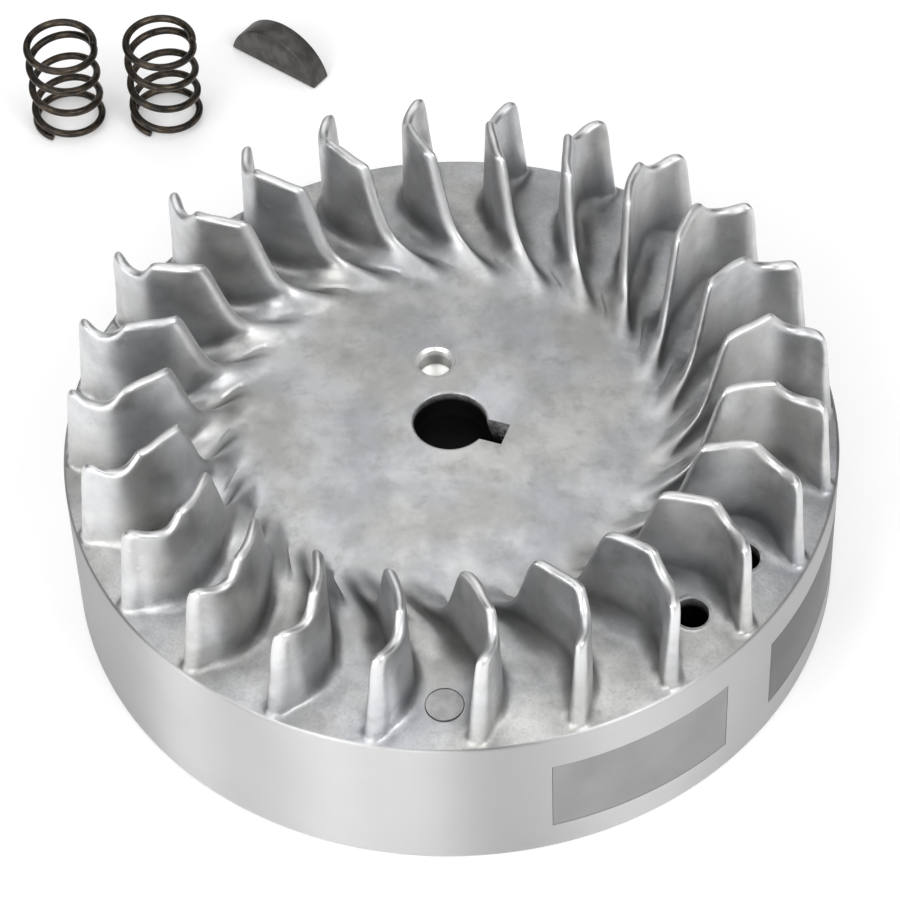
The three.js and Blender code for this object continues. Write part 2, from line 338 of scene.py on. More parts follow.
def graded(stretches):
    """Grid lines from (start, end, spacing) stretches."""
    lines = [stretches[0][0]]
    for start, end, spacing in stretches:
        count = max(1, round((end - start) / spacing))
        lines += [start + (end - start) * (i + 1) / count for i in range(count)]
    return np.array(lines)


RADIUS_LINES = graded([
    (30.0, 42.0, 4.0), (42.0, 47.0, 1.6), (47.0, 60.0, 1.15), (60.0, 63.0, 0.6), (63.0, 71.0, 1.3),
    (71.0, 76.5, 0.8), (76.5, 82.0, 1.2), (82.0, 86.5, 0.5), (86.5, 86.9, 0.4),
])
HEIGHT_LINES = graded([
    (-0.5, 0.5, 1.0), (0.5, 3.0, 0.7), (3.0, 7.0, 1.2), (7.0, 22.0, 2.2), (22.0, 29.6, 0.6),
])
HALF_LATERAL_LINES = graded([(0.0, 3.15, 0.45), (3.15, 5.0, 0.75), (5.0, 9.163, 1.3)])[1:]
LATERAL_LINES = np.concatenate([-HALF_LATERAL_LINES[::-1], [0.0], HALF_LATERAL_LINES[:-1]])
LATERAL_LINES = LATERAL_LINES * (SECTOR / 2) / HALF_LATERAL_LINES[-1]


def to_space(radius, turn, height):
    """From the grid's radius, turn from the fin's centre line and height over the web."""
    angle = np.radians(turn + grid_sweep(radius))
    return radius * np.cos(angle), radius * np.sin(angle), height + web_height(radius)


def settle(points, rounds=4):
    """Moves points onto the finned face along its gradient."""
    step = 0.02
    for _ in range(rounds):
        value = face_distance(*points.T)
        gradient = np.empty_like(points)
        for axis in range(3):
            shift = np.zeros(3)
            shift[axis] = step
            gradient[:, axis] = face_distance(*(points + shift).T) - face_distance(*(points - shift).T)
        gradient /= 2 * step
        length = np.maximum((gradient**2).sum(1), 0.05)
        move = np.clip(value / length, -1.0, 1.0)
        points = points - gradient * move[:, None]
    return points


def sector_net():
    """One fin's sector of the face as a surface net.

    Returns its points, quads of (shift, point) pairs where shift is the number of sectors
    round, and the rows of points on its inner and outer borders.
    """
    turns = LATERAL_LINES
    next_turns = np.append(turns[1:], turns[0] + SECTOR)
    corners = np.meshgrid(RADIUS_LINES, turns, HEIGHT_LINES, indexing="ij")
    value = face_distance(*to_space(*corners))
    value = np.concatenate([value, value[:, :1]], axis=1)
    solid = value < 0
    nr, nt, nh = (n - 1 for n in value.shape)

    lines = [RADIUS_LINES, np.append(turns, next_turns[-1]), HEIGHT_LINES]
    total = np.zeros((nr, nt, nh, 3))
    count = np.zeros((nr, nt, nh))
    for axis in range(3):
        for da in (0, 1):
            for db in (0, 1):
                start = [da, db]
                start.insert(axis, 0)
                end = list(start)
                end[axis] = 1
                v0 = value[tuple(slice(o, o + n) for o, n in zip(start, (nr, nt, nh)))]
                v1 = value[tuple(slice(o, o + n) for o, n in zip(end, (nr, nt, nh)))]
                crossed = (v0 < 0) != (v1 < 0)
                t = np.where(crossed, v0 / np.where(crossed, v0 - v1, 1), 0)
                for dim in range(3):
                    low = lines[dim][start[dim]:][:(nr, nt, nh)[dim]]
                    high = lines[dim][end[dim]:][:(nr, nt, nh)[dim]]
                    shape = [1, 1, 1]
                    shape[dim] = -1
                    place = lerp(low.reshape(shape), high.reshape(shape), t)
                    total[..., dim] += np.where(crossed, place, 0)
                count += crossed
    used = count > 0
    index = np.full((nr, nt, nh), -1)
    index[used] = np.arange(used.sum())
    grid_points = total[used] / count[used][:, None]
    points = settle(np.stack(to_space(*grid_points.T), 1))

    quads = []
    for axis in range(3):
        head = [slice(None)] * 3
        tail = [slice(None)] * 3
        head[axis] = slice(0, -1)
        tail[axis] = slice(1, None)
        first, second = solid[tuple(head)], solid[tuple(tail)]
        others = [a for a in range(3) if a != axis]
        for i, j, k in np.argwhere(first != second):
            cell = [i, j, k]
            if any(cell[a] in (0, value.shape[a] - 1) for a in others if a != 1):
                continue
            if j == nt:
                continue
            quad = []
            for du, dv in ((0, 0), (1, 0), (1, 1), (0, 1)):
                near = list(cell)
                near[others[0]] -= du
                near[others[1]] -= dv
                shift = -1 if near[1] < 0 else 0
                near[1] %= nt
                quad.append((shift, index[tuple(near)]))
            flip = first[i, j, k] ^ (axis == 1)
            quads.append(quad[::-1] if flip else quad)
    borders = []
    for row in (0, nr - 1):
        layers = used[row].sum(axis=1)
        if not (layers == 1).all():
            raise ValueError("the face's border isn't one point per column")
        borders.append(index[row].max(axis=1))
    return points, quads, borders


def turn_about_axis(points, degrees):
    angle = math.radians(degrees)
    c, s = math.cos(angle), math.sin(angle)
    return points @ np.array([[c, s, 0], [-s, c, 0], [0, 0, 1]])


def irregular(points, rng):
    """One fin's points with the small unevenness of a rough casting, growing towards its crest."""
    radius = np.hypot(points[:, 0], points[:, 1])
    above = points[:, 2] - web_height(radius)
    raised = smoothstep(above, 6.0, 24.0)
    moved = points.copy()
    for wavelength, rise, lean in ((21.0, 0.30, 0.30), (8.0, 0.12, 0.08)):
        phase = rng.uniform(0, 2 * math.pi, 2)
        moved[:, 2] += rise * raised * np.sin(2 * math.pi * radius / wavelength + phase[0])
        moved[:, 1] += lean * raised * np.sin(2 * math.pi * radius / wavelength + phase[1])
    return moved


# ---------------------------------------------------------------- flywheel casting


def rounded_path(corners, steps=4):
    """An open (radius, height) path whose corners, given with a rounding, become short arcs."""
    path = []
    for i, (r, z, rounding) in enumerate(corners):
        corner = np.array([r, z])
        if rounding == 0 or i in (0, len(corners) - 1):
            path.append(corner)
            continue
        before = np.array(corners[i - 1][:2]) - corner
        after = np.array(corners[i + 1][:2]) - corner
        start = corner + before / np.linalg.norm(before) * rounding
        end = corner + after / np.linalg.norm(after) * rounding
        for t in np.linspace(0, 1, steps):
            path.append(lerp(lerp(start, corner, t), lerp(corner, end, t), t))
    return path


def bore_radius(height):
    return BORE_RADIUS + (HUB_FACE_HEIGHT - height) * BORE_TAPER


POCKET_TOP = INSERT_TOP_HEIGHT + 0.3
# The casting's section from the rim's upper edge down, round and up to the web, as radius,
# height and rounding.
BODY_PATH = [
    (87.05, 39.46, 0), (87.32, 39.33, 0), (RIM_RADIUS, 39.05, 0), (RIM_RADIUS, 38.4, 0),
    (RIM_RADIUS, 1.6, 0), (RIM_RADIUS, 0.0, 0.8), (70.2, 0.0, 0.8), (67.2, 31.0, 4.0), (27.5, 31.0, 5.0),
    (24.2, BOSS_END_HEIGHT, 0.8), (INSERT_RADIUS + 0.2, BOSS_END_HEIGHT, 0.3),
    (INSERT_RADIUS + 0.2, POCKET_TOP, 0), (bore_radius(POCKET_TOP), POCKET_TOP, 0),
    (BORE_RADIUS, HUB_FACE_HEIGHT, 0.6), (9.2, HUB_FACE_HEIGHT, 0), (12.0, HUB_FACE_HEIGHT, 0),
    (16.0, HUB_FACE_HEIGHT, 0), (19.0, 45.15, 0), (22.0, 44.98, 0), (26.0, 44.68, 0),
]

# Start angle of each pole shoe and its grey, which holds painted shade too: the trailing shoe is a
# darker, shaded copy of the same steel.
SHOES = {"pole_shoe_leading": (-77.5, 0.32), "pole_shoe_trailing": (-38.6, 0.17)}
SHOE_SPAN = 29.0
SHOE_LOW, SHOE_HIGH = 8.0, 29.3
SHOE_DEPTH = 6.5
SHOE_JOINT = 0.08
PLUG_RADIUS = 4.1
PLUG_PITCH_RADIUS = 76.0
PLUG_PLACE = polar(PLUG_PITCH_RADIUS, -92.7)
PLUG_TOP = float(web_height(PLUG_PITCH_RADIUS))
PLUG_LENGTH = 8.0
PLUG_GROOVE = 0.16
PLUG_GROOVE_DEPTH = 2.0
PLUG_PROUD = 0.2
# The drilled dimple beside the bore, with a chamfered mouth and a shallow point below.
DOWEL_PLACE = (-2.9, 18.2)
DOWEL_RADIUS = 3.8
DOWEL_DEPTH = 5.5
DOWEL_CHAMFER = 1.3
DOWEL_POINT = 1.5
PIN_RADIUS = 3.8
PIN_BOTTOM = 29.0
PIN_PLACES = [polar(74.0, angle) for angle in (-46.8, -31.7)]


def keyway_cutter():
    side = KEYWAY_WIDTH / 2
    corners = np.array([(0, -side), (KEYWAY_REACH, -side), (KEYWAY_REACH, side), (0, side)])
    points = np.concatenate([np.column_stack([corners, np.full(4, z)]) for z in (-2.0, 50.0)])
    faces = [(0, 1, 2, 3), (4, 5, 6, 7)] + [(j, (j + 1) % 4, 4 + (j + 1) % 4, 4 + j) for j in range(4)]
    return turn_about_axis(points, KEYWAY_ANGLE), faces


def dowel_cutter():
    low = HUB_FACE_HEIGHT - DOWEL_DEPTH
    high = HUB_FACE_HEIGHT + 0.4
    return peg(DOWEL_RADIUS, low, high, *DOWEL_PLACE, chamfer=DOWEL_CHAMFER, point=DOWEL_POINT)


def shoe_cutter(start):
    """A pole shoe's pocket, wider than the shoe by a fine joint and open on the rim's side."""
    inner = RIM_RADIUS - SHOE_DEPTH - 0.1
    low, high = SHOE_LOW - SHOE_JOINT, SHOE_HIGH + SHOE_JOINT
    turn = 0.06
    return sector_block(inner, RIM_RADIUS + 3, low, high, start - turn, SHOE_SPAN + 2 * turn)


def casting_cutters():
    cutters = [keyway_cutter(), dowel_cutter()]
    for place in PIN_PLACES:
        cutters.append(peg(PIN_RADIUS, PIN_BOTTOM, HUB_FACE_HEIGHT, *place))
    groove_bottom = PLUG_TOP - PLUG_GROOVE_DEPTH
    cutters.append(peg(PLUG_RADIUS + PLUG_GROOVE, groove_bottom, PLUG_TOP + 0.5, *PLUG_PLACE))
    for start, _ in SHOES.values():
        cutters.append(shoe_cutter(start))
    return cutters


def closed_casting():
    """Points and quads of the whole casting before its holes are cut."""
    points, quads, (inner, outer) = sector_net()
    size = len(points)
    angles = [FIRST_FIN_ANGLE + SECTOR * q for q in range(FIN_COUNT)]
    rng = np.random.default_rng(24)
    parts = [turn_about_axis(irregular(points, rng), angle) for angle in angles]
    faces = []
    for q in range(FIN_COUNT):
        faces += [tuple((q + shift) % FIN_COUNT * size + p for shift, p in quad) for quad in quads]
    start = [q * size + p for q in range(FIN_COUNT) for p in outer]
    end = [(q + 1) % FIN_COUNT * size + p for q in range(FIN_COUNT) for p in inner]

    turns = np.degrees(np.arctan2(points[outer, 1], points[outer, 0]))
    columns = np.radians(np.concatenate([turns + angle for angle in angles]))
    path = rounded_path(BODY_PATH)
    first = FIN_COUNT * size
    count = len(columns)
    rows = [start]
    for i, (r, z) in enumerate(path):
        parts.append(np.column_stack([r * np.cos(columns), r * np.sin(columns), np.full(count, z)]))
        rows.append(list(range(first + i * count, first + (i + 1) * count)))
    rows.append(end)
    for near, far in zip(rows, rows[1:]):
        for j in range(count):
            k = (j + 1) % count
            faces.append((near[j], far[j], far[k], near[k]))
    return np.concatenate(parts), faces


def mark_wear_and_painted_light(obj):
    """Stores, for the casting's materials, how far each point is on a worn crest edge with a painted
    highlight, in the painted shade of a fin root, deep in a hole, sandy, high on a blade where light is
    painted, or on the keyway side where light is painted.
    """
    count = len(obj.data.vertices)
    points = np.empty(count * 3, np.float32)
    obj.data.vertices.foreach_get("co", points)
    points = (points.reshape(-1, 3) - np.array(HUB)) / MM
    x, y, z = points.T.astype(float)
    radius = np.hypot(x, y)
    angle = np.degrees(np.arctan2(y, x)) - FIRST_FIN_ANGLE - fin_sweep(radius)
    turn = np.mod(angle + SECTOR / 2, SECTOR) - SECTOR / 2
    local = np.radians(turn + fin_sweep(radius))
    side, outline, across = fin_distances(radius * np.cos(local), radius * np.sin(local), z)
    above = z - web_height(radius)
    on_foot = smoothstep(above, 1.0, 3.0) * (radius > 46)
    on_crest = np.where(radius > 60, smoothstep(above, 10.0, 21.0), on_foot)
    # Worn crest edge, lighter partly as rubbed bare metal and partly as a painted highlight.
    crest_wear_and_highlight = (1 - smoothstep(-outline, 0.1, 1.3)) * on_crest
    clockwise = 1 - smoothstep(across, -1.0, 1.0)
    # Painted shade along the fin roots, darker and wider on the clockwise side, fading up the blade.
    painted_root_shade = np.exp(-np.maximum(side, 0) / lerp(1.6, 2.3, clockwise)) * lerp(0.35, 1.0, clockwise)
    painted_root_shade = painted_root_shade * np.exp(-np.maximum(above, 0) / 7.5) * (above > -1)
    painted_root_shade = painted_root_shade * smoothstep(radius, 46.0, 52.0) * (1 - smoothstep(radius, 76.0, 83.0))
    beside_bore = (radius > bore_radius(z) + 0.2) & (radius < KEYWAY_REACH + 1)
    depth = (web_height(radius) - z) * np.where(beside_bore, 0.4, 1.0)
    sand = smoothstep(radius, 50.0, 62.0) * (1 - smoothstep(above, 0.5, 5.0))
    # Height on the blade; the casting's colour paints light with it, weaker on the clockwise side, which
    # thus reads as painted shade.
    blade = smoothstep(above, 5.0, 9.0)
    blade *= lerp(1.0, 0.6, clockwise)
    # The keyway's one side, where the bore's material paints light in flecks.
    keyway_turn = math.radians(-KEYWAY_ANGLE)
    beside = x * math.sin(keyway_turn) + y * math.cos(keyway_turn)
    keyway = smoothstep(radius, BORE_RADIUS + 0.5, BORE_RADIUS + 2.0) * smoothstep(beside, -1.0, 2.0)
    keyway *= radius < KEYWAY_REACH + 1
    marks_and_painted_light = {"crest_wear_and_highlight": crest_wear_and_highlight, "painted_root_shade": painted_root_shade, "depth": depth, "sand": sand, "blade": blade}
    marks_and_painted_light["keyway"] = keyway
    for name, values in marks_and_painted_light.items():
        layer = obj.data.attributes.new(name, "FLOAT", "POINT")
        layer.data.foreach_set("value", values.astype(np.float32))


def in_keyway(x, y, margin):
    turn = math.radians(-KEYWAY_ANGLE)
    along = x * math.cos(turn) - y * math.sin(turn)
    beside = x * math.sin(turn) + y * math.cos(turn)
    return 0 < along < KEYWAY_REACH + margin and abs(beside) < KEYWAY_WIDTH / 2 + margin


def in_pin_hole(x, y, z, margin):
    inside = any(math.dist((x, y), place) < PIN_RADIUS + margin for place in PIN_PLACES)
    return inside and z > PIN_BOTTOM - margin


def assign_machined_faces(obj):
    """Gives their own materials to the rim's turned side, the bored holes and the drilled dimple."""
    turned_side, bored, drilled = 1, 2, 3
    # A face whose normal rises more than this counts as level.
    level = 0.98
    for polygon in obj.data.polygons:
        x, y, z = (polygon.center - HUB) / MM
        radius = math.hypot(x, y)
        in_bore = radius < bore_radius(z) + 0.1
        below_hub_face = z < HUB_FACE_HEIGHT - 0.02
        near_dowel = math.dist((x, y), DOWEL_PLACE) < DOWEL_RADIUS + DOWEL_CHAMFER - 0.2
        if radius > RIM_RADIUS - 0.35 and z < RIM_HEIGHT - 0.03:
            polygon.material_index = turned_side
        elif below_hub_face and (in_bore or in_keyway(x, y, 0.05)) or in_pin_hole(x, y, z, 0.1):
            polygon.material_index = bored
        elif near_dowel and polygon.normal.z < level and z > INSERT_TOP_HEIGHT:
            polygon.material_index = drilled


def make_casting():
    points, faces = closed_casting()
    casting = outward(make_object("flywheel", points, faces))
    cut_with(casting, casting_cutters())
    mark_wear_and_painted_light(casting)
    casting.data.materials.clear()
    for material in (cast_aluminium(), turned_aluminium(), shadowed_bore(), drilled_aluminium()):
        casting.data.materials.append(material)
    assign_machined_faces(casting)
    casting.data.shade_smooth()
    casting.data.set_sharp_from_angle(angle=math.radians(43))
    fins = [f"fin_{i + 1:02d}" for i in range(FIN_COUNT)]
    return finish_piece(casting, "flywheel", "cast_aluminium", "flywheel_casting", *fins)


def finish_piece(obj, body, slot, *nodes):
    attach(obj, body)
    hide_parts(*nodes)
    return obj


def dress(obj, material):
    obj.data.materials.clear()
    obj.data.materials.append(material)
    return obj


def make_insert():
    outline = [
        (INSERT_RADIUS, BOSS_END_HEIGHT),
        (INSERT_RADIUS, INSERT_TOP_HEIGHT),
        (bore_radius(INSERT_TOP_HEIGHT), INSERT_TOP_HEIGHT),
        (bore_radius(BOSS_END_HEIGHT), BOSS_END_HEIGHT),
    ]
    insert = outward(make_object("hub_sleeve", *turned(outline)))
    cut_with(insert, [keyway_cutter()])
    bevel(insert, 0.4)
    dress(insert, hub_steel())
    insert.data.set_sharp_from_angle(angle=math.radians(35))
    return finish_piece(insert, "flywheel", "hub_steel", "hub_insert")


def make_shoe(node, start, steel_grey_and_shade):
    block = sector_block(RIM_RADIUS - SHOE_DEPTH, RIM_RADIUS, SHOE_LOW, SHOE_HIGH, start, SHOE_SPAN)
    shoe = outward(make_object(node + "_laminated", *block))
    bevel(shoe, 0.12)
    dress(shoe, pole_steel(node + "_steel", steel_grey_and_shade))
    shoe.data.set_sharp_from_angle(angle=math.radians(35))
    return finish_piece(shoe, "flywheel", "pole_steel", node)


def make_plug():
    low, high = RIM_HEIGHT - PLUG_LENGTH, PLUG_TOP + PLUG_PROUD
    plug = outward(make_object("flush_plug", *peg(PLUG_RADIUS, low, high, *PLUG_PLACE)))
    bevel(plug, 0.25)
    dress(plug, plug_aluminium())
    plug.data.set_sharp_from_angle(angle=math.radians(50))
    return finish_piece(plug, "flywheel", "plug_aluminium", "core_plug")


# ---------------------------------------------------------------- key

KEY_DIAMETER = 28.0
KEY_HEIGHT = 11.0
KEY_THICKNESS = 6.0
KEY_ANGLE = -38.5


def make_key():
    radius = KEY_DIAMETER / 2
    centre = KEY_HEIGHT - radius
    first = math.asin(-centre / radius)
    angles = np.linspace(first, math.pi - first, 49)
    outline = [(radius * math.cos(a), centre + radius * math.sin(a)) for a in angles]
    size = len(outline)
    half = KEY_THICKNESS / 2
    points = [(x, y, max(z, 0.0)) for y in (-half, half) for x, z in outline]
    faces = [tuple(range(size)), tuple(range(2 * size - 1, size - 1, -1))]
    faces += [(j, size + j, size + (j + 1) % size, (j + 1) % size) for j in range(size)]
    place = centre_of("woodruff_key")
    points = turn_about_axis(np.array(points), KEY_ANGLE)
    key = outward(make_object("half_moon_key", points, faces, Vector((place.x, place.y, 0))))
    bevel(key, 0.45, segments=3, angle=40)
    dress(key, key_steel())
    key.data.set_sharp_from_angle(angle=math.radians(40))
    return finish_piece(key, "key", "key_steel", "woodruff_key")


# ---------------------------------------------------------------- springs

WIRE_RADIUS = 0.95
SPRING_RADIUS = 8.45
SPRING_HEIGHT = 27.0
SPRING_TURNS = 4.67
DEAD_TURNS = 0.3
PITCH_RAMP = 0.75
END_COIL_TURNS = 0.75
WIRE_SIDES = 16
# The wire's cut ends narrow to this share of its radius over this length.
CUT_END_SHARE = 0.82
CUT_END_LENGTH = 0.12
WIRE_STEPS_PER_TURN = 56


def pitch_drop(turns):
    """Drop of the wire, in turns of full pitch, after some turns from the top."""
    def ramp(x):
        inside = np.clip(x, 0, PITCH_RAMP)
        return inside**2 / (2 * PITCH_RAMP) + np.maximum(0, x - PITCH_RAMP)

    return ramp(turns - DEAD_TURNS) - ramp(turns - (SPRING_TURNS - DEAD_TURNS - PITCH_RAMP))


def wire_centre(turns):
    angle = 2 * math.pi * turns
    drop = (SPRING_HEIGHT - 2 * WIRE_RADIUS) * pitch_drop(turns) / pitch_drop(np.array(SPRING_TURNS))
    height = SPRING_HEIGHT - WIRE_RADIUS - drop
    return np.column_stack([SPRING_RADIUS * np.cos(angle), SPRING_RADIUS * np.sin(angle), height])


def make_spring(number):
    name = f"valve_spring_{number}"
    steps = round(SPRING_TURNS * WIRE_STEPS_PER_TURN)
    turns = np.linspace(0, SPRING_TURNS, steps + 1)
    centres = wire_centre(turns)
    along = np.gradient(centres, axis=0)
    along /= np.linalg.norm(along, axis=1)[:, None]
    spin = 2 * math.pi * turns
    outward_axis = np.column_stack([np.cos(spin), np.sin(spin), np.zeros(len(turns))])
    upward_axis = np.cross(along, outward_axis)
    angles = np.linspace(0, 2 * math.pi, WIRE_SIDES, endpoint=False)
    circle = np.cos(angles)[:, None, None] * outward_axis + np.sin(angles)[:, None, None] * upward_axis
    rings = [centres[i] + WIRE_RADIUS * circle[:, i] for i in range(len(turns))]
    end_radius = WIRE_RADIUS * CUT_END_SHARE
    rings.insert(0, centres[0] - CUT_END_LENGTH * along[0] + end_radius * circle[:, 0])
    rings.append(centres[-1] + CUT_END_LENGTH * along[-1] + end_radius * circle[:, -1])
    points, faces = ring_strip(rings)
    last = len(points) - WIRE_SIDES
    faces += [tuple(range(WIRE_SIDES)), tuple(range(last, last + WIRE_SIDES))[::-1]]
    place = centre_of(f"{name}_active_coils")
    spring = outward(make_object(f"{name}_wire", points, faces, Vector((place.x, place.y, 0))))
    dress(spring, spring_steel())
    spring.data.set_sharp_from_angle(angle=math.radians(50))

    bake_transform(spring)
    lowest, highest = wire_centre(np.array([SPRING_TURNS - END_COIL_TURNS, END_COIL_TURNS]))[:, 2]
    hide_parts(*[f"{name}_{part}" for part in ("top_coil", "active_coils", "seat_coil")])
    return spring


# ---------------------------------------------------------------- materials


class Shader:
    """A principled material built from a few kinds of procedural node."""

    def __init__(self, name, color, metallic, roughness):
        self.material = bpy.data.materials.new(name)
        self.material.use_nodes = True
        self.tree = self.material.node_tree
        self.surface = self.tree.nodes["Principled BSDF"]
        self.surface.inputs["Base Color"].default_value = (*color, 1)
        self.surface.inputs["Metallic"].default_value = metallic
        self.surface.inputs["Roughness"].default_value = roughness
        self.place = self.tree.nodes.new("ShaderNodeTexCoord").outputs["Object"]

    def node(self, kind, inputs, output=0, **settings):
        node = self.tree.nodes.new(kind)
        for key, value in settings.items():
            setattr(node, key, value)
        for key, value in inputs.items():
            if isinstance(value, bpy.types.NodeSocket):
                self.tree.links.new(value, node.inputs[key])
            else:
                node.inputs[key].default_value = value
        return node.outputs[output]

    def noise(self, size_mm, detail=3.0, roughness=0.55, stretch=(1, 1, 1)):
        """Noise from 0 to 1 whose features are about size_mm across."""
        place = self.node("ShaderNodeMapping", {"Vector": self.place, "Scale": stretch})
        inputs = {"Vector": place, "Scale": 1 / (size_mm * MM), "Detail": detail, "Roughness": roughness}
        return self.node("ShaderNodeTexNoise", inputs)

    def cells(self, size_mm):
        """Distance from the nearest of points scattered about size_mm apart, in that unit."""
        inputs = {"Vector": self.place, "Scale": 1 / (size_mm * MM)}
        return self.node("ShaderNodeTexVoronoi", inputs, output="Distance")

    def spread(self, value, low, high, to_low=0.0, to_high=1.0):
        inputs = {"Value": value, "From Min": low, "From Max": high, "To Min": to_low, "To Max": to_high}
        return self.node("ShaderNodeMapRange", inputs, interpolation_type="SMOOTHSTEP")

    def math(self, operation, a, b):
        return self.node("ShaderNodeMath", {0: a, 1: b}, operation=operation, use_clamp=True)

    def attribute(self, name):
        node = self.tree.nodes.new("ShaderNodeAttribute")
        node.attribute_name = name
        return node.outputs["Fac"]

    def ring(self, centre, radius, half_width):
        """One on an upright circle about a point of the flywheel, falling to zero beside it."""
        flat = self.node("ShaderNodeMapping", {"Vector": self.place, "Scale": (1, 1, 0)})
        middle = HUB + Vector((*centre, 0)) * MM
        inputs = {0: flat, 1: middle}
        distance = self.node("ShaderNodeVectorMath", inputs, output="Value", operation="DISTANCE")
        beside = self.node("ShaderNodeMath", {0: distance, 1: radius * MM}, operation="SUBTRACT")
        beside = self.node("ShaderNodeMath", {0: beside}, operation="ABSOLUTE")
        return self.spread(beside, 0, half_width * MM, 1.0, 0.0)

    def mix(self, factor, a, b):
        """Mixes two colours, each a socket or an (r, g, b) tuple."""
        inputs = {0: factor}
        for index, color in ((6, a), (7, b)):
            inputs[index] = (*color, 1) if isinstance(color, tuple) else color
        return self.node("ShaderNodeMix", inputs, output=2, data_type="RGBA")

    def bump(self, height, depth_mm, strength=1.0, below=None):
        inputs = {"Height": height, "Distance": depth_mm * MM, "Strength": strength}
        if below is not None:
            inputs["Normal"] = below
        return self.node("ShaderNodeBump", inputs)

    def set(self, **sockets):
        for name, value in sockets.items():
            socket = self.surface.inputs[name.replace("_", " ")]
            if isinstance(value, bpy.types.NodeSocket):
                self.tree.links.new(value, socket)
            else:
                socket.default_value = value
        return self.material


def cast_aluminium():
    s = Shader("cast_aluminium", (0.6, 0.605, 0.61), 1.0, 0.42)
    patches = s.spread(s.noise(17, detail=5, roughness=0.6), 0.36, 0.64)
    color = s.mix(patches, (0.41, 0.415, 0.42), (0.64, 0.645, 0.65))
    tint = s.spread(s.noise(23, detail=2), 0.35, 0.65)
    color = s.mix(0.22, color, s.mix(tint, (0.56, 0.59, 0.67), (0.64, 0.61, 0.53)))
    blotches = s.spread(s.noise(5, detail=6, roughness=0.66), 0.48, 0.74)
    color = s.mix(s.math("MULTIPLY", blotches, 0.5), color, (0.33, 0.33, 0.325))
    # Painted shade at the fin roots, mixed towards near-black.
    color = s.mix(s.math("MULTIPLY", s.attribute("painted_root_shade"), 0.9), color, (0.1, 0.1, 0.098))
    # Painted light: the blade lighter above its root, less so on its clockwise side.
    color = s.mix(s.math("MULTIPLY", s.attribute("blade"), 0.3), color, (0.8, 0.803, 0.81))
    soot = s.spread(s.noise(9, detail=4, roughness=0.6), 0.48, 0.72)
    soot = s.math("MULTIPLY", soot, s.attribute("blade"))
    color = s.mix(s.math("MULTIPLY", soot, 0.2), color, (0.36, 0.365, 0.38))
    # Worn crest edge: rubbed bare metal and a painted highlight, in light grey.
    color = s.mix(s.math("MULTIPLY", s.attribute("crest_wear_and_highlight"), 0.45), color, (0.8, 0.803, 0.806))
    specks = s.spread(s.noise(0.7, detail=5, roughness=0.7), 0.42, 0.75)
    specks = s.math("MULTIPLY", specks, s.attribute("sand"))
    color = s.mix(s.math("MULTIPLY", specks, 0.4), color, (0.3, 0.3, 0.295))
    clusters = s.math("MULTIPLY", s.spread(s.noise(13, detail=2), 0.5, 0.64), s.attribute("blade"))
    uneven = s.math("ADD", s.cells(2.4), s.spread(s.noise(1.5), 0.3, 0.7, 0.0, 0.16))
    blisters = s.math("MULTIPLY", s.spread(uneven, 0.16, 0.4, 1.0, 0.0), clusters)
    color = s.mix(s.math("MULTIPLY", blisters, 0.3), color, (0.8, 0.8, 0.8))
    roughness = s.spread(s.noise(8, detail=4), 0.3, 0.7, 0.38, 0.52)
    sand_height = s.math("MULTIPLY", s.noise(0.8, detail=3), s.math("ADD", s.attribute("sand"), 0.3))
    grain = s.bump(sand_height, 0.12, strength=0.4)
    relief = s.bump(s.ring(DOWEL_PLACE, DOWEL_RADIUS + 1.6, 0.5), 0.06, strength=0.4, below=grain)
    for place in PIN_PLACES:
        relief = s.bump(s.ring(place, PIN_RADIUS + 0.6, 0.6), 0.15, strength=0.6, below=relief)
    blistered = s.bump(blisters, 0.12, strength=0.3, below=relief)
    ripple = s.bump(s.noise(6, detail=2), 0.3, strength=0.3, below=blistered)
    return s.set(Base_Color=color, Roughness=roughness, Normal=ripple)


def turned_aluminium():
    s = Shader("turned_aluminium", (0.53, 0.53, 0.533), 1.0, 0.45)
    cloud = s.spread(s.noise(30, detail=3), 0.3, 0.7)
    color = s.mix(cloud, (0.54, 0.54, 0.543), (0.51, 0.51, 0.513))
    lines = s.noise(0.5, detail=2, stretch=(0.02, 0.02, 1))
    tangent = s.node("ShaderNodeTangent", {}, direction_type="RADIAL", axis="Z")
    s.set(Anisotropic=0.93, Anisotropic_Rotation=0.25, Tangent=tangent)
    return s.set(Base_Color=color, Normal=s.bump(lines, 0.02, strength=0.2))


def shadowed_bore():
    """Walls of the bore, the keyway and the pin holes, darkening to black below their mouths as painted
    shade.

    One side of the keyway gets painted light in flecks.
    """
    s = Shader("shadowed_bore", (0.1, 0.1, 0.1), 0.7, 0.55)
    below = s.spread(s.attribute("depth"), 0.3, 2.8)
    rough = s.spread(s.noise(1.5, detail=4), 0.3, 0.7)
    mouth = s.mix(rough, (0.5, 0.5, 0.5), (0.26, 0.26, 0.255))
    # Painted shade: from grey at the mouth to near-black below it.
    color = s.mix(below, mouth, (0.004, 0.004, 0.004))
    # Painted light in flecks on one side of the keyway, from its mouth to about 3 mm down.
    flecks = s.math("MULTIPLY", s.spread(s.noise(1.3, detail=3), 0.35, 0.6), s.attribute("keyway"))
    flecks = s.math("MULTIPLY", flecks, s.spread(s.attribute("depth"), 0.3, 0.6))
    flecks = s.math("MULTIPLY", flecks, s.spread(s.attribute("depth"), 2.0, 3.0, 1.0, 0.0))
    color = s.mix(flecks, color, (0.75, 0.75, 0.74))
    return s.set(Base_Color=color, Normal=s.bump(s.noise(0.5), 0.04, strength=0.4))


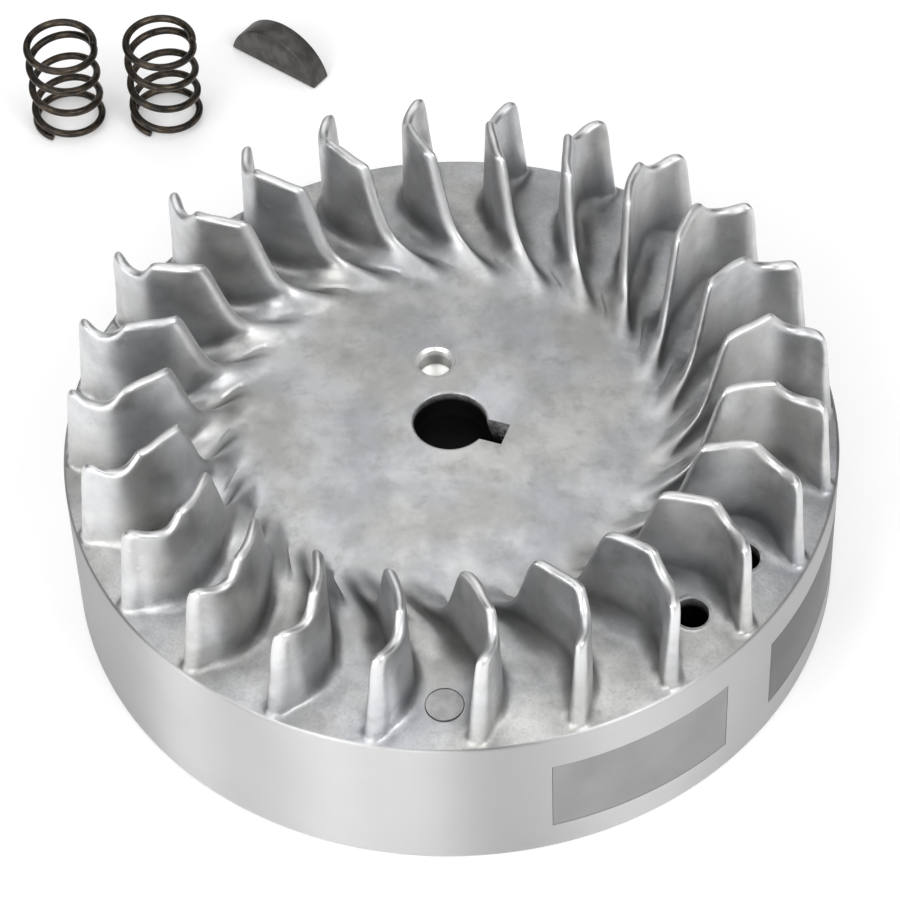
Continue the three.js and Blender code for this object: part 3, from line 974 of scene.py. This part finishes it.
def drilled_aluminium():
    """The drilled dimple, in painted shade halfway down with painted highlights at its mouth and on its
    pointed bottom.
    """
    s = Shader("drilled_aluminium", (0.85, 0.85, 0.85), 1.0, 0.4)
    # Painted highlight at the mouth fading to painted shade halfway down, then a painted highlight on
    # the point.
    color = s.mix(s.spread(s.attribute("depth"), 1.4, 2.6), (0.92, 0.92, 0.915), (0.4, 0.4, 0.395))
    color = s.mix(s.spread(s.attribute("depth"), 4.9, 5.6), color, (0.95, 0.95, 0.92))
    rings = s.noise(0.35, detail=1, stretch=(0.1, 0.1, 1))
    return s.set(Base_Color=color, Normal=s.bump(rings, 0.02, strength=0.3))


def plug_aluminium():
    s = Shader("plug_aluminium", (0.56, 0.56, 0.56), 1.0, 0.45)
    spots = s.spread(s.noise(2.5, detail=4), 0.35, 0.65)
    color = s.mix(spots, (0.5, 0.5, 0.5), (0.4, 0.4, 0.4))
    return s.set(Base_Color=color, Normal=s.bump(s.noise(0.5), 0.05, strength=0.4))


def hub_steel():
    # Near-black here is painted shade of the deep bore, not the steel's own colour.
    s = Shader("hub_steel", (0.01, 0.01, 0.01), 0.6, 0.5)
    cloud = s.spread(s.noise(6, detail=4), 0.35, 0.65)
    color = s.mix(cloud, (0.012, 0.012, 0.012), (0.005, 0.005, 0.005))
    lines = s.noise(0.4, stretch=(0.05, 0.05, 1))
    return s.set(Base_Color=color, Normal=s.bump(lines, 0.02, strength=0.4))


def pole_steel(name, steel_grey_and_shade):
    # The grey sets the steel's tone and the shoe's painted shade together.
    s = Shader(name, (steel_grey_and_shade, steel_grey_and_shade, steel_grey_and_shade), 0.9, 0.5)
    cloud = s.spread(s.noise(14, detail=4), 0.3, 0.7)
    color = s.mix(cloud, (steel_grey_and_shade, steel_grey_and_shade, steel_grey_and_shade), (steel_grey_and_shade * 0.88, steel_grey_and_shade * 0.88, steel_grey_and_shade * 0.89))
    sheets = s.noise(0.5, detail=1, stretch=(0.02, 0.02, 1))
    return s.set(Base_Color=color, Normal=s.bump(sheets, 0.02, strength=0.3))


def magnet_black():
    s = Shader("magnet_black", (0.03, 0.03, 0.032), 0.4, 0.55)
    color = s.mix(s.spread(s.noise(2, detail=4), 0.3, 0.7), (0.035, 0.035, 0.037), (0.02, 0.02, 0.022))
    return s.set(Base_Color=color, Normal=s.bump(s.noise(0.4), 0.05, strength=0.5))


def spring_steel():
    s = Shader("spring_steel", (0.03, 0.027, 0.024), 0.9, 0.32)
    film = s.spread(s.noise(3, detail=4), 0.35, 0.7)
    color = s.mix(film, (0.032, 0.029, 0.026), (0.085, 0.066, 0.048))
    roughness = s.spread(s.noise(1.2), 0.3, 0.7, 0.26, 0.42)
    return s.set(Base_Color=color, Roughness=roughness, Normal=s.bump(s.noise(0.3), 0.02, strength=0.35))


def key_steel():
    s = Shader("key_steel", (0.11, 0.104, 0.1), 0.8, 0.45)
    cloud = s.spread(s.noise(4, detail=5), 0.35, 0.65)
    color = s.mix(cloud, (0.125, 0.116, 0.11), (0.07, 0.067, 0.065))
    scratches = s.noise(0.35, detail=3, stretch=(1, 1, 0.3))
    return s.set(Base_Color=color, Normal=s.bump(scratches, 0.05, strength=0.6))


# ---------------------------------------------------------------- stage


FLOOR_HALF = 20.0


def make_floor():
    mesh = bpy.data.meshes.new("floor")
    corners = [(x * FLOOR_HALF, y * FLOOR_HALF, 0) for x, y in ((-1, -1), (1, -1), (1, 1), (-1, 1))]
    mesh.from_pydata(corners, [], [(0, 1, 2, 3)])
    floor = bpy.data.objects.new("floor", mesh)
    bpy.context.scene.collection.objects.link(floor)
    floor.location.z = -0.0002
    s = Shader("floor_white", (0.9, 0.9, 0.9), 0.0, 0.7)
    mesh.materials.append(s.set(Emission_Color=(1, 1, 1, 1), Emission_Strength=FLOOR_GLOW))


def aim(obj, place, target):
    obj.location = place
    obj.rotation_euler = (Vector(target) - Vector(place)).to_track_quat("-Z", "Y").to_euler()


LIGHT_DISTANCE = 1.2
# Groups of soft round lights: azimuths from +X and elevation in degrees, the diameter of each
# light in metres and its power in watts.
LIGHTS = {
    "low_strip": ((200, 240, 260), 15, 0.4, 2.5),
    "low_fill": ((320, 5, 90), 15, 1.0, 1.25),
    "key_left": ((225,), 45, 0.7, 4.5),
    "key_right": ((315,), 45, 0.7, 6.0),
    "back_fill": ((90, 135), 45, 0.7, 0.75),
    "top_fill": ((0, 90, 180), 70, 0.7, 1.75),
}
FLOOR_GLOW = 0.2
WORLD_GLOW = 0.08


def make_light(name, azimuth, elevation, diameter, power):
    light = bpy.data.lights.new(name, "AREA")
    light.shape = "DISK"
    light.size = diameter
    light.energy = power
    obj = bpy.data.objects.new(name, light)
    bpy.context.scene.collection.objects.link(obj)
    target = HUB + Vector((0, 0, 0.03))
    across, up = math.cos(math.radians(elevation)), math.sin(math.radians(elevation))
    x, y = polar(across, azimuth)
    aim(obj, target + Vector((x, y, up)) * LIGHT_DISTANCE, target)


def make_lights():
    for name, (azimuths, elevation, diameter, power) in LIGHTS.items():
        for azimuth in azimuths:
            make_light(f"{name}_{azimuth}", azimuth, elevation, diameter, power)
    world = bpy.data.worlds.new("studio")
    world.use_nodes = True
    world.node_tree.nodes["Background"].inputs["Color"].default_value = (1, 1, 1, 1)
    world.node_tree.nodes["Background"].inputs["Strength"].default_value = WORLD_GLOW
    bpy.context.scene.world = world
    bpy.context.scene.view_settings.view_transform = "Standard"


CAMERA_DISTANCE = 0.9312
CAMERA_ELEVATION = 49.56
CAMERA_ROLL = -2.25
CAMERA_AIM = Vector((-0.0003, 0.0298, 0.0))
CAMERA_LENS = 156.16


def make_camera():
    data = bpy.data.cameras.new("camera")
    data.lens = CAMERA_LENS
    data.sensor_width = 36.0
    data.clip_start = 0.01
    camera = bpy.data.objects.new("camera", data)
    bpy.context.scene.collection.objects.link(camera)
    elevation = math.radians(CAMERA_ELEVATION)
    back = Vector((0, -math.cos(elevation), math.sin(elevation)))
    right = Vector((1, 0, 0))
    up = back.cross(right)
    roll = math.radians(CAMERA_ROLL)
    turned_right = right * math.cos(roll) + up * math.sin(roll)
    turned_up = up * math.cos(roll) - right * math.sin(roll)
    axes = Matrix((turned_right, turned_up, back)).transposed().to_4x4()
    place = HUB + CAMERA_AIM + back * CAMERA_DISTANCE
    camera.matrix_world = Matrix.Translation(place) @ axes
    bpy.context.scene.camera = camera


# ---------------------------------------------------------------- scene

make_camera()
make_floor()
make_lights()
make_casting()
make_insert()
for node, (start, steel_grey_and_shade) in SHOES.items():
    make_shoe(node, start, steel_grey_and_shade)
make_plug()
dress(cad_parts["ignition_magnet"], magnet_black())
make_key()
for number in (1, 2):
    make_spring(number)

bpy.context.view_layer.update()
